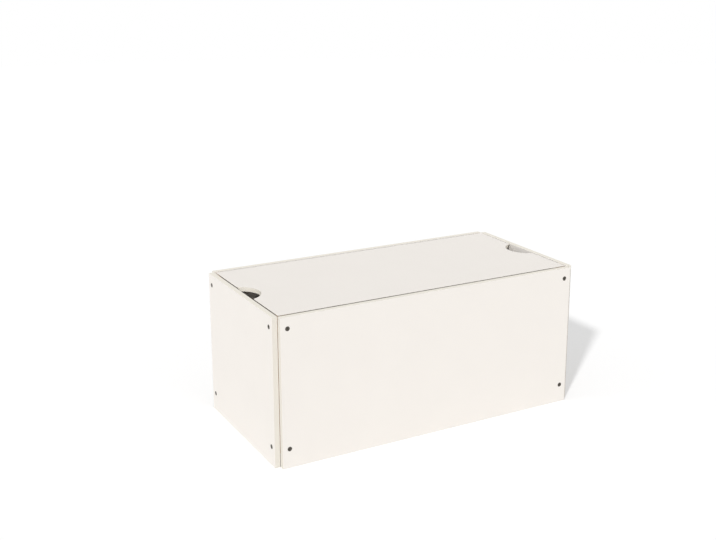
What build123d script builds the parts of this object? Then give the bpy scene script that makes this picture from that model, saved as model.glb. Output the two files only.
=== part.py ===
"""Wooden toy box with a lift-off lid, in millimetres.

The origin is on the floor under the middle of the box. +X runs along the length,
-Y is the front and +Z is up.

Four wall boards are screwed to corner posts inside the box, so each corner stays open
outside: a wall ends where its neighbour's inner face begins. The posts stand on the
bottom panel, which hangs from them on screws, and their upper ends carry the lid.
"""
import os
from math import radians, tan

from build123d import *

# Outside of the box
box_length = 740.0
box_depth = 365.0
box_height = 321.0

# Boards of faced plywood: the walls and the bottom, and a thinner lid
board_thickness = 12.0
lid_thickness = 10.0
edge_round = 0.25

# Gaps between the boards
corner_gap = 0.6
lid_end_gap = 3.0
lid_side_gap = 4.8
bottom_gap = 0.5

# Lid: edges that slope inwards below, and a round finger notch struck from the outer face of each end wall
lid_slope = 40.0
notch_radius = 48.0
notch_corner_round = 2.0

# Corner posts and the space under the bottom panel
post_side = 32.0
post_round = 2.0
post_chamfer = 6.0
floor_space = 16.0

# Countersunk socket screws, just below the face of the board
thread_diameter = 5.0
screw_length = 20.0
head_diameter = 9.7
head_angle = 90.0
head_rim = 0.2
head_recess = 0.1
socket_width = 3.0
socket_depth = 1.8
tip_chamfer = 0.6
screw_from_floor = 41.0
screw_from_top = 24.0

# Threaded inserts in the posts
insert_diameter = 8.0
insert_chamfer = 0.5
insert_web = 2.0

# Radial clearances
head_clearance = 0.15
shank_clearance = 0.25
thread_clearance = 0.1
insert_clearance = 0.1

# Planes of the inner wall faces, measured from the middle
wall_inside_x = box_length / 2 - board_thickness
wall_inside_y = box_depth / 2 - board_thickness

# The posts fill the corners between the bottom panel and the lid
bottom_top = floor_space + board_thickness
lid_underside = box_height - lid_thickness
post_x = wall_inside_x - post_side / 2
post_y = wall_inside_y - post_side / 2
screw_heights = (screw_from_floor, box_height - screw_from_top)

# Two walls are screwed to each post at the same heights, so an insert stops short of its neighbour
insert_length = post_side / 2 - insert_diameter / 2 - insert_web
insert_bore_depth = insert_length + insert_web / 2
countersink_radius = head_diameter / 2 + head_rim + head_recess + head_clearance

left, right = -1, 1
front, back = -1, 1


def long_wall_seats(side, ends=(left, right)):
    """Planes on the outer face of the front or back wall, one at each screw, facing outwards."""
    return [
        Plane(origin=(end * post_x, side * box_depth / 2, height), x_dir=(0, 0, 1), z_dir=(0, side, 0))
        for end in ends
        for height in screw_heights
    ]


def end_wall_seats(end, sides=(front, back)):
    """Planes on the outer face of an end wall, one at each screw, facing outwards."""
    return [
        Plane(origin=(end * box_length / 2, side * post_y, height), x_dir=(0, 0, 1), z_dir=(end, 0, 0))
        for side in sides
        for height in screw_heights
    ]


def bottom_seats(ends=(left, right), sides=(front, back)):
    """Planes on the underside of the bottom panel, one under each post, facing down."""
    return [
        Plane(origin=(end * post_x, side * post_y, floor_space), x_dir=(1, 0, 0), z_dir=(0, 0, -1))
        for end in ends
        for side in sides
    ]


def finish(part, name):
    """Names a finished sub-part and writes it to its own file."""
    part.label = name
    export_step(part, f"parts/{name}.step")


os.makedirs("parts", exist_ok=True)

# Wall boards: a plane on the outer face, the distance between the neighbouring walls, the screws
walls = {
    "front": (
        Plane(origin=(0, -box_depth / 2, 0), x_dir=(1, 0, 0), z_dir=(0, -1, 0)),
        2 * wall_inside_x,
        long_wall_seats(front),
    ),
    "back": (
        Plane(origin=(0, box_depth / 2, 0), x_dir=(-1, 0, 0), z_dir=(0, 1, 0)),
        2 * wall_inside_x,
        long_wall_seats(back),
    ),
    "left_end": (
        Plane(origin=(-box_length / 2, 0, 0), x_dir=(0, -1, 0), z_dir=(-1, 0, 0)),
        2 * wall_inside_y,
        end_wall_seats(left),
    ),
    "right_end": (
        Plane(origin=(box_length / 2, 0, 0), x_dir=(0, 1, 0), z_dir=(1, 0, 0)),
        2 * wall_inside_y,
        end_wall_seats(right),
    ),
}

for wall_name, (outer_face, wall_space, seats) in walls.items():
    with BuildPart() as panel:
        with BuildSketch(outer_face):
            with Locations((0, box_height / 2)):
                Rectangle(wall_space - 2 * corner_gap, box_height)
        extrude(amount=-board_thickness)
        fillet(panel.edges(), radius=edge_round)
        with Locations(*seats):
            CounterSinkHole(
                radius=thread_diameter / 2 + shank_clearance,
                counter_sink_radius=countersink_radius,
                counter_sink_angle=head_angle,
            )
    finish(panel.part, f"{wall_name}_panel")

# Bottom panel, screwed up into the posts from underneath and chamfered at the corners like them
with BuildPart() as bottom_panel:
    with BuildSketch(Plane.XY.offset(floor_space)) as bottom_outline:
        Rectangle(2 * (wall_inside_x - bottom_gap), 2 * (wall_inside_y - bottom_gap))
        chamfer(bottom_outline.vertices(), length=post_chamfer)
    extrude(amount=board_thickness)
    fillet(bottom_panel.edges(), radius=edge_round)
    with Locations(*bottom_seats()):
        CounterSinkHole(
            radius=thread_diameter / 2 + shank_clearance,
            counter_sink_radius=countersink_radius,
            counter_sink_angle=head_angle,
        )
finish(bottom_panel.part, "bottom_panel")

# Lid, flush with the upper edges of the walls
lid_length = 2 * (wall_inside_x - lid_end_gap)
lid_depth = 2 * (wall_inside_y - lid_side_gap)
with BuildPart() as lid:
    with BuildSketch(Plane.XY.offset(box_height)):
        Rectangle(lid_length, lid_depth)
    extrude(amount=-lid_thickness, taper=lid_slope)
    with BuildSketch(Plane.XY.offset(box_height)):
        with Locations((-box_length / 2, 0), (box_length / 2, 0)):
            Circle(notch_radius)
    extrude(amount=-lid_thickness, mode=Mode.SUBTRACT)
    upright_edges = lid.edges().filter_by(Plane.XY, reverse=True)
    notch_corners = upright_edges.filter_by_position(Axis.Y, -notch_radius, notch_radius)
    fillet(notch_corners, radius=notch_corner_round)
    flat_faces = lid.faces().filter_by(Axis.Z)
    fillet(flat_faces.edges(), radius=edge_round)
finish(lid.part, "lid")

# Corner posts, chamfered behind the open corner and bored for the inserts of two walls and the bottom
for side_name, side in (("front", front), ("back", back)):
    for end_name, end in (("left", left), ("right", right)):
        post_seats = (
            long_wall_seats(side, [end]) + end_wall_seats(end, [side]) + bottom_seats([end], [side])
        )
        with BuildPart() as post:
            with BuildSketch(Plane.XY.offset(bottom_top)) as section:
                with Locations((end * post_x, side * post_y)):
                    Rectangle(post_side, post_side)
                fillet(section.vertices().sort_by_distance((0, 0, 0))[:-1], radius=post_round)
                chamfer(section.vertices().sort_by_distance((0, 0, 0))[-1], length=post_chamfer)
            extrude(amount=lid_underside - bottom_top)
            with Locations(*[seat.offset(-board_thickness) for seat in post_seats]):
                Hole(radius=insert_diameter / 2 + insert_clearance, depth=insert_bore_depth)
        finish(post.part, f"{side_name}_{end_name}_post")

# One screw, with the face of its board at Z = 0
cone_height = (head_diameter - thread_diameter) / 2 / tan(radians(head_angle / 2))
screw_profile = [
    (0, -head_recess),
    (head_diameter / 2, -head_recess),
    (head_diameter / 2, -head_recess - head_rim),
    (thread_diameter / 2, -head_recess - head_rim - cone_height),
    (thread_diameter / 2, -head_recess - screw_length + tip_chamfer),
    (thread_diameter / 2 - tip_chamfer, -head_recess - screw_length),
    (0, -head_recess - screw_length),
]
with BuildPart() as screw:
    with BuildSketch(Plane.XZ):
        with BuildLine():
            Polyline(*screw_profile, close=True)
        make_face()
    revolve(axis=Axis.Z)
    with BuildSketch(Plane.XY.offset(-head_recess)):
        RegularPolygon(radius=socket_width / 2, side_count=6, major_radius=False)
    extrude(amount=-socket_depth, mode=Mode.SUBTRACT)

# One insert, with the face of its post at Z = 0
with BuildPart() as insert:
    with BuildSketch():
        Circle(insert_diameter / 2)
        Circle(thread_diameter / 2 + thread_clearance, mode=Mode.SUBTRACT)
    extrude(amount=-insert_length)
    chamfer(insert.edges().group_by(SortBy.LENGTH)[-1], length=insert_chamfer)

# Screws and inserts of each board, as groups of separate solids
boards = {wall_name: seats for wall_name, (_, _, seats) in walls.items()}
boards["bottom"] = bottom_seats()
for board_name, seats in boards.items():
    with BuildPart() as screws:
        with Locations(*seats):
            add(screw.part)
    finish(screws.part, f"{board_name}_screws")
    with BuildPart() as inserts:
        with Locations(*[seat.offset(-board_thickness) for seat in seats]):
            add(insert.part)
    finish(inserts.part, f"{board_name}_inserts")
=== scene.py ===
"""Looks of the wooden toy box: cream-faced plywood boards, beech posts, flush black screws.

Everything is in metres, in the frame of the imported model: the origin is on the floor under
the middle of the box, +X runs along its length and -Y is the front.
"""
import math

import bpy
import numpy as np
from mathutils import Matrix, Vector


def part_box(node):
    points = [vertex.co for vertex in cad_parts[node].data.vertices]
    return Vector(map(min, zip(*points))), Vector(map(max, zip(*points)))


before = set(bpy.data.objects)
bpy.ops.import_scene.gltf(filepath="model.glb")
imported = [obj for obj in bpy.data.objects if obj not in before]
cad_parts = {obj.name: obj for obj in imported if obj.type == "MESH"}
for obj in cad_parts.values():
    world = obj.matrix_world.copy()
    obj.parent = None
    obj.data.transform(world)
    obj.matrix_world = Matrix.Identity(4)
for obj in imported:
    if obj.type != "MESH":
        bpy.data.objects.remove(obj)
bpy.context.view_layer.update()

MM = 0.001

# The photograph's frame and the camera that its straight edges give
IMAGE_WIDTH = 716
IMAGE_HEIGHT = 540
FOCAL_PIXELS = 1077.4
AXIS_COLUMN = 369.8
AXIS_ROW = 230.0
CAMERA_PLACE = (-1.1635, -1.9967, 1.0144)
CAMERA_YAW = math.radians(28.986)
CAMERA_PITCH = math.radians(14.627)
SENSOR_WIDTH = 36.0

# Light: a low key lamp from the front left, which casts the shadow beside the right end, a weak fill
# beside the camera, which reaches into the finger notch, and a plain sky. Each lamp has a heading,
# an elevation, a strength and a spread, with its angles in degrees
LAMPS = {
    "key": (49.5, 33.5, 1.67, 3.5),
    "fill": (22.5, 17.9, 0.30, 6.0),
}
SKY_STRENGTH = 0.666
BACKDROP_STRENGTH = 1.0

# Floor: its colour when it is seen, and its colour to the light that it throws back at the box
FLOOR_RADIUS = 8.0
FLOOR_DROP = 0.1 * MM
FLOOR_SEEN = "#FDFDFD"
FLOOR_BOUNCE = "#DEDEDE"
FLOOR_SELF_LIGHT = 0.04

# Boards, each with the axis that its face veneer runs along
BOARDS = {
    "front_panel": 0,
    "back_panel": 0,
    "left_end_panel": 1,
    "right_end_panel": 1,
    "bottom_panel": 0,
    "lid": 1,
}
POSTS = ("front_left_post", "front_right_post", "back_left_post", "back_right_post")
FIXINGS = ("front", "back", "left_end", "right_end", "bottom")

# Sockets of Blender's Mix node, which can't be told apart by name
SHARE = 0
NUMBER_A = 2
NUMBER_B = 3
COLOUR_A = 6
COLOUR_B = 7
MIXED_NUMBER = 0
MIXED_COLOUR = 2


def linear(code):
    """An sRGB hex colour as linear RGBA."""
    parts = [int(code[i:i + 2], 16) / 255 for i in (1, 3, 5)]
    return [p / 12.92 if p <= 0.04045 else ((p + 0.055) / 1.055) ** 2.4 for p in parts] + [1.0]


def per_metre(size_mm):
    """A texture scale whose pattern repeats about every size_mm."""
    return 1.0 / (size_mm * MM)


def add_node(tree, kind, inputs=None, **settings):
    """Adds a shader node, sets its properties, then fills its sockets with values or links."""
    made = tree.nodes.new(kind)
    for name, value in settings.items():
        setattr(made, name, value)
    for socket, value in (inputs or {}).items():
        if isinstance(value, bpy.types.NodeSocket):
            tree.links.new(value, made.inputs[socket])
        else:
            made.inputs[socket].default_value = value
    return made


def new_material(name):
    """An empty node material and its tree."""
    material = bpy.data.materials.new(name)
    material.use_nodes = True
    material.node_tree.nodes.clear()
    return material, material.node_tree


# Faced plywood: the film and the plies, the sizes of their patterns in millimetres, and their colours
FILM_THICKNESS = 0.5
PLY_COUNT = 11
PLY_BLEND = (0.35, 0.65)
CLOUD_SIZE = 90.0
WAVER_SIZE = 40.0
FIBRE_SIZE = 3.0
TOOTH_SIZE = 1.2
TOOTH_HEIGHT = 0.02
TOOTH_STRENGTH = 0.15
FILM_COLOURS = ("#ECE7E1", "#EFEAE4")
LONG_GRAIN_COLOUR = "#EFEBE1"
END_GRAIN_COLOUR = "#E7E1D5"
FIBRE_COLOUR = "#EBE6DB"
# The grey and the share below darken the edges cut across the face veneer. This is partly their end grain
# and partly painted shade, since on the walls these are the upright edges in the open corner recesses.
END_CUT_AND_CORNER_SHADE_COLOUR = "#CFCBC5"
END_CUT_AND_CORNER_SHADE_SHARE = 0.37
FILM_ROUGHNESS = 0.55
CUT_ROUGHNESS = 0.66


def faced_plywood(name, low, high, grain):
    """Birch plywood faced with a cream melamine film, with the face veneer's grain along one axis.

    The faces are smooth, matt and warm white. Every cut through the board, at its edges, holes and
    notches, shows thin plies across the thickness, because the film is only a skin on both sides.
    Neighbouring plies run crosswise, so a ply that shows pale long grain on one edge shows darker end
    grain round the corner. The edges cut across the face veneer are mixed towards a grey. This is partly
    for their end grain and partly painted shade, since on the walls these are the upright edges in the
    open corners.
    """
    material, tree = new_material(name)
    low, high = np.array(low), np.array(high)
    middle, half = (low + high) / 2, (high - low) / 2
    across = int(np.argmin(half))
    width = ({0, 1, 2} - {across, grain}).pop()
    place = add_node(tree, "ShaderNodeTexCoord").outputs["Object"]
    split = add_node(tree, "ShaderNodeSeparateXYZ", {0: place})

    # Distance from the middle along each axis, and how far that is inside the board
    offset, inside = [], []
    for axis in range(3):
        away = add_node(
            tree, "ShaderNodeMath", {0: split.outputs[axis], 1: middle[axis]}, operation="SUBTRACT"
        )
        reach = add_node(tree, "ShaderNodeMath", {0: away.outputs[0]}, operation="ABSOLUTE")
        depth = add_node(tree, "ShaderNodeMath", {0: half[axis], 1: reach.outputs[0]}, operation="SUBTRACT")
        offset.append(away.outputs[0])
        inside.append(depth.outputs[0])
    skin = add_node(
        tree, "ShaderNodeMath", {0: inside[across], 1: FILM_THICKNESS * MM}, operation="LESS_THAN"
    ).outputs[0]
    end_cut = add_node(
        tree, "ShaderNodeMath", {0: inside[grain], 1: inside[width]}, operation="LESS_THAN"
    ).outputs[0]

    # Film colour: a faint cloudiness, too weak to read as a pattern
    cloud = add_node(
        tree,
        "ShaderNodeTexNoise",
        {"Vector": place, "Scale": per_metre(CLOUD_SIZE), "Detail": 2.0, "Roughness": 0.5},
    )
    film_colour = add_node(
        tree,
        "ShaderNodeMix",
        {SHARE: cloud.outputs["Fac"], COLOUR_A: linear(FILM_COLOURS[0]), COLOUR_B: linear(FILM_COLOURS[1])},
        data_type="RGBA",
    )

    # Plies: layers of even thickness that waver a little, long grain and end grain in turn
    waver = add_node(
        tree, "ShaderNodeTexNoise", {"Vector": place, "Scale": per_metre(WAVER_SIZE), "Detail": 1.0}
    )
    wave = add_node(tree, "ShaderNodeMath", {0: waver.outputs["Fac"], 1: 0.5}, operation="SUBTRACT")
    layer = add_node(
        tree,
        "ShaderNodeMath",
        {0: offset[across], 1: PLY_COUNT / (2 * half[across]), 2: wave.outputs[0]},
        operation="MULTIPLY_ADD",
    )
    turn = add_node(tree, "ShaderNodeMath", {0: layer.outputs[0], 1: 1.0}, operation="PINGPONG")
    ply = add_node(
        tree,
        "ShaderNodeMapRange",
        {"Value": turn.outputs[0], "From Min": PLY_BLEND[0], "From Max": PLY_BLEND[1]},
        interpolation_type="SMOOTHSTEP",
    )
    swapped = add_node(tree, "ShaderNodeMath", {0: ply.outputs[0], 1: end_cut}, operation="SUBTRACT")
    end_grain = add_node(tree, "ShaderNodeMath", {0: swapped.outputs[0]}, operation="ABSOLUTE")
    ply_colour = add_node(
        tree,
        "ShaderNodeMix",
        {
            SHARE: end_grain.outputs[0],
            COLOUR_A: linear(LONG_GRAIN_COLOUR),
            COLOUR_B: linear(END_GRAIN_COLOUR),
        },
        data_type="RGBA",
    )

    # Wood of the cut edge: plies with a short fibre over them, darker where the face veneer is cut across,
    # partly for end grain and partly as painted shade for the open corners where those edges stand
    fibre = add_node(
        tree,
        "ShaderNodeTexNoise",
        {"Vector": place, "Scale": per_metre(FIBRE_SIZE), "Detail": 3.0, "Roughness": 0.6},
    )
    fibred = add_node(
        tree,
        "ShaderNodeMix",
        {
            SHARE: fibre.outputs["Fac"],
            COLOUR_A: ply_colour.outputs[MIXED_COLOUR],
            COLOUR_B: linear(FIBRE_COLOUR),
        },
        data_type="RGBA",
    )
    end_grain_and_corner_shade = add_node(tree, "ShaderNodeMath", {0: end_cut, 1: END_CUT_AND_CORNER_SHADE_SHARE}, operation="MULTIPLY")
    wood = add_node(
        tree,
        "ShaderNodeMix",
        {
            SHARE: end_grain_and_corner_shade.outputs[0],
            COLOUR_A: fibred.outputs[MIXED_COLOUR],
            COLOUR_B: linear(END_CUT_AND_CORNER_SHADE_COLOUR),
        },
        data_type="RGBA",
    )
    colour = add_node(
        tree,
        "ShaderNodeMix",
        {
            SHARE: skin,
            COLOUR_A: wood.outputs[MIXED_COLOUR],
            COLOUR_B: film_colour.outputs[MIXED_COLOUR],
        },
        data_type="RGBA",
    )

    # Roughness and a fine tooth: the film is matt, the cut edge is sanded wood
    rough = add_node(
        tree, "ShaderNodeMix", {SHARE: skin, NUMBER_A: CUT_ROUGHNESS, NUMBER_B: FILM_ROUGHNESS}
    )
    tooth = add_node(
        tree,
        "ShaderNodeTexNoise",
        {"Vector": place, "Scale": per_metre(TOOTH_SIZE), "Detail": 2.0, "Roughness": 0.5},
    )
    bump = add_node(
        tree,
        "ShaderNodeBump",
        {"Strength": TOOTH_STRENGTH, "Distance": TOOTH_HEIGHT * MM, "Height": tooth.outputs["Fac"]},
    )
    shader = add_node(
        tree,
        "ShaderNodeBsdfPrincipled",
        {
            "Base Color": colour.outputs[MIXED_COLOUR],
            "Roughness": rough.outputs[MIXED_NUMBER],
            "IOR": 1.5,
            "Specular IOR Level": 0.3,
            "Normal": bump.outputs[0],
        },
    )
    add_node(tree, "ShaderNodeOutputMaterial", {0: shader.outputs[0]})
    return material


# Beech: sizes across the grain in millimetres, and the texture scale along it as a share of that across
GRAIN_SIZE = 3.5
GRAIN_ALONG = 0.04
GRAIN_HEIGHT = 0.05
GRAIN_STRENGTH = 0.2
GRAIN_COLOURS = {0.3: "#C79B6B", 0.7: "#E0BD92"}
FLECK_SIZE = 1.6
FLECK_ALONG = 0.18
FLECK_REACH = 0.16
FLECK_SHARE = 0.35
FLECK_COLOUR = "#9A6A40"


def oiled_beech(name):
    """Planed beech with an oil finish: pinkish straw, straight upright grain and short dark flecks."""
    material, tree = new_material(name)
    place = add_node(tree, "ShaderNodeTexCoord").outputs["Object"]
    along = add_node(tree, "ShaderNodeMapping", {"Vector": place, "Scale": (1.0, 1.0, GRAIN_ALONG)})
    grain = add_node(
        tree,
        "ShaderNodeTexNoise",
        {"Vector": along.outputs[0], "Scale": per_metre(GRAIN_SIZE), "Detail": 4.0, "Roughness": 0.6},
    )
    colour = add_node(tree, "ShaderNodeValToRGB", {0: grain.outputs["Fac"]})
    for stop, (position, code) in zip(colour.color_ramp.elements, GRAIN_COLOURS.items()):
        stop.color = linear(code)
        stop.position = position
    short = add_node(tree, "ShaderNodeMapping", {"Vector": place, "Scale": (1.0, 1.0, FLECK_ALONG)})
    fleck = add_node(
        tree,
        "ShaderNodeTexVoronoi",
        {"Vector": short.outputs[0], "Scale": per_metre(FLECK_SIZE)},
        feature="F1",
    )
    dark = add_node(
        tree, "ShaderNodeMath", {0: fleck.outputs["Distance"], 1: FLECK_REACH}, operation="LESS_THAN"
    )
    amount = add_node(tree, "ShaderNodeMath", {0: dark.outputs[0], 1: FLECK_SHARE}, operation="MULTIPLY")
    flecked = add_node(
        tree,
        "ShaderNodeMix",
        {SHARE: amount.outputs[0], COLOUR_A: colour.outputs[0], COLOUR_B: linear(FLECK_COLOUR)},
        data_type="RGBA",
    )
    bump = add_node(
        tree,
        "ShaderNodeBump",
        {"Strength": GRAIN_STRENGTH, "Distance": GRAIN_HEIGHT * MM, "Height": grain.outputs["Fac"]},
    )
    shader = add_node(
        tree,
        "ShaderNodeBsdfPrincipled",
        {
            "Base Color": flecked.outputs[MIXED_COLOUR],
            "Roughness": 0.5,
            "IOR": 1.5,
            "Normal": bump.outputs[0],
        },
    )
    add_node(tree, "ShaderNodeOutputMaterial", {0: shader.outputs[0]})
    return material


# Phosphate coat: the crystals' mottle in millimetres, and its colours
MOTTLE_SIZE = 0.8
MOTTLE_HEIGHT = 0.02
MOTTLE_STRENGTH = 0.2
MOTTLE_COLOURS = ("#4A453F", "#58534D")


def phosphated_steel(name):
    """Steel with a black phosphate coat: a dry, matt, warm black with a fine crystalline mottle."""
    material, tree = new_material(name)
    place = add_node(tree, "ShaderNodeTexCoord").outputs["Object"]
    mottle = add_node(
        tree,
        "ShaderNodeTexNoise",
        {"Vector": place, "Scale": per_metre(MOTTLE_SIZE), "Detail": 3.0, "Roughness": 0.6},
    )
    colour = add_node(
        tree,
        "ShaderNodeMix",
        {
            SHARE: mottle.outputs["Fac"],
            COLOUR_A: linear(MOTTLE_COLOURS[0]),
            COLOUR_B: linear(MOTTLE_COLOURS[1]),
        },
        data_type="RGBA",
    )
    bump = add_node(
        tree,
        "ShaderNodeBump",
        {"Strength": MOTTLE_STRENGTH, "Distance": MOTTLE_HEIGHT * MM, "Height": mottle.outputs["Fac"]},
    )
    shader = add_node(
        tree,
        "ShaderNodeBsdfPrincipled",
        {
            "Base Color": colour.outputs[MIXED_COLOUR],
            "Roughness": 0.62,
            "Specular IOR Level": 0.3,
            "Normal": bump.outputs[0],
        },
    )
    add_node(tree, "ShaderNodeOutputMaterial", {0: shader.outputs[0]})
    return material


# Zinc plate: the blotches of its gloss in millimetres, and the roughness that they run between
BLOTCH_SIZE = 2.0
BLOTCH_RANGE = (0.3, 0.7)
ZINC_ROUGHNESS = (0.26, 0.42)
ZINC_COLOUR = "#C9C3B4"


def zinc_plated_steel(name):
    """Turned steel with a zinc plate: pale warm grey metal with a faintly uneven gloss."""
    material, tree = new_material(name)
    place = add_node(tree, "ShaderNodeTexCoord").outputs["Object"]
    blotch = add_node(
        tree, "ShaderNodeTexNoise", {"Vector": place, "Scale": per_metre(BLOTCH_SIZE), "Detail": 3.0}
    )
    rough = add_node(
        tree,
        "ShaderNodeMapRange",
        {
            "Value": blotch.outputs["Fac"],
            "From Min": BLOTCH_RANGE[0],
            "From Max": BLOTCH_RANGE[1],
            "To Min": ZINC_ROUGHNESS[0],
            "To Max": ZINC_ROUGHNESS[1],
        },
    )
    shader = add_node(
        tree,
        "ShaderNodeBsdfPrincipled",
        {"Base Color": linear(ZINC_COLOUR), "Metallic": 1.0, "Roughness": rough.outputs[0]},
    )
    add_node(tree, "ShaderNodeOutputMaterial", {0: shader.outputs[0]})
    return material


def seen_ray(tree):
    """1 on the rays that show the background: straight, mirrored or through glass."""
    path = add_node(tree, "ShaderNodeLightPath").outputs
    glossy = add_node(
        tree,
        "ShaderNodeMath",
        {0: path["Is Glossy Ray"], 1: path["Is Transmission Ray"]},
        operation="MAXIMUM",
    )
    return add_node(
        tree, "ShaderNodeMath", {0: path["Is Camera Ray"], 1: glossy.outputs[0]}, operation="MAXIMUM"
    )


def paper_white_floor(name):
    """Matt floor that keeps the shadow: seen, it is white paper with a little light of its own.

    To the light that it throws back at the box it is a light grey, so that the walls keep their colour.
    """
    material, tree = new_material(name)
    seen = seen_ray(tree).outputs[0]
    lift = add_node(tree, "ShaderNodeMath", {0: seen, 1: FLOOR_SELF_LIGHT}, operation="MULTIPLY")
    colour = add_node(
        tree,
        "ShaderNodeMix",
        {SHARE: seen, COLOUR_A: linear(FLOOR_BOUNCE), COLOUR_B: linear(FLOOR_SEEN)},
        data_type="RGBA",
    )
    matt = add_node(tree, "ShaderNodeBsdfDiffuse", {"Color": colour.outputs[MIXED_COLOUR]})
    glow = add_node(tree, "ShaderNodeEmission", {"Strength": lift.outputs[0]})
    both = add_node(tree, "ShaderNodeAddShader", {0: matt.outputs[0], 1: glow.outputs[0]})
    add_node(tree, "ShaderNodeOutputMaterial", {0: both.outputs[0]})
    return material


def disc(radius, height, rings=2, spokes=96):
    """A flat disc: rings of points at even steps of radius, joined by quads, and closed at the middle."""
    turn = np.linspace(0, 2 * np.pi, spokes, endpoint=False)
    out = np.linspace(0, radius, rings + 1)[1:]
    ring = np.stack([np.outer(out, np.cos(turn)), np.outer(out, np.sin(turn))], axis=-1).reshape(-1, 2)
    points = np.concatenate([[[0.0, 0.0]], ring])
    points = np.column_stack([points, np.full(len(points), height)])
    here = np.arange(spokes)
    after = (here + 1) % spokes
    faces = [tuple(f) for f in np.column_stack([np.zeros(spokes, int), 1 + here, 1 + after])]
    for r in range(rings - 1):
        a, b = 1 + r * spokes, 1 + (r + 1) * spokes
        faces += [tuple(f) for f in np.column_stack([a + here, b + here, b + after, a + after])]
    mesh = bpy.data.meshes.new("floor")
    mesh.from_pydata(points.tolist(), [], faces)
    return mesh


def towards(heading, fall):
    """A unit direction that heads from +Y towards +X by one angle and falls below the level by another."""
    return Vector((
        math.sin(heading) * math.cos(fall),
        math.cos(heading) * math.cos(fall),
        -math.sin(fall),
    ))


def dress(nodes, material):
    """Gives CAD nodes a material in place of their plain one."""
    for name in nodes:
        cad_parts[name].material_slots[0].material = material


# Finishes
for board, grain_axis in BOARDS.items():
    dress([board], faced_plywood(f"cream_faced_birch_plywood_{board}", *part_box(board), grain_axis))
dress(POSTS, oiled_beech("oiled_beech"))
dress([f"{f}_screws" for f in FIXINGS], phosphated_steel("black_phosphated_steel"))
dress([f"{f}_inserts" for f in FIXINGS], zinc_plated_steel("zinc_plated_steel"))

# Floor
floor = bpy.data.objects.new("floor", disc(FLOOR_RADIUS, -FLOOR_DROP))
floor.data.materials.append(paper_white_floor("matt_white_floor"))
bpy.context.scene.collection.objects.link(floor)

# Sky, with a white backdrop on the rays that show it
world = bpy.data.worlds.new("studio")
bpy.context.scene.world = world
world.use_nodes = True
sky = world.node_tree
sky.nodes.clear()
level = add_node(
    sky,
    "ShaderNodeMapRange",
    {"Value": seen_ray(sky).outputs[0], "To Min": SKY_STRENGTH, "To Max": BACKDROP_STRENGTH},
)
backdrop = add_node(sky, "ShaderNodeBackground", {"Color": (1, 1, 1, 1), "Strength": level.outputs[0]})
add_node(sky, "ShaderNodeOutputWorld", {0: backdrop.outputs[0]})

# Lamps
for name, (heading, elevation, strength, spread) in LAMPS.items():
    lamp = bpy.data.lights.new(name, "SUN")
    lamp.energy = strength
    lamp.angle = math.radians(spread)
    holder = bpy.data.objects.new(name, lamp)
    beam = towards(math.radians(heading), math.radians(elevation))
    holder.rotation_euler = beam.to_track_quat("-Z", "Y").to_euler()
    bpy.context.scene.collection.objects.link(holder)

# Camera, shifted so that its axis falls on the photograph's own
lens = bpy.data.cameras.new("camera")
lens.sensor_fit = "HORIZONTAL"
lens.sensor_width = SENSOR_WIDTH
lens.lens = FOCAL_PIXELS / IMAGE_WIDTH * SENSOR_WIDTH
lens.shift_x = (IMAGE_WIDTH / 2 - AXIS_COLUMN) / IMAGE_WIDTH
lens.shift_y = (AXIS_ROW - IMAGE_HEIGHT / 2) / IMAGE_WIDTH
camera = bpy.data.objects.new("camera", lens)
ahead = towards(CAMERA_YAW, CAMERA_PITCH)
right = Vector((math.cos(CAMERA_YAW), -math.sin(CAMERA_YAW), 0.0))
turned = Matrix((right, right.cross(ahead), -ahead)).transposed()
camera.matrix_world = Matrix.Translation(CAMERA_PLACE) @ turned.to_4x4()
bpy.context.scene.collection.objects.link(camera)
bpy.context.scene.camera = camera

bpy.context.scene.view_settings.view_transform = "Standard"
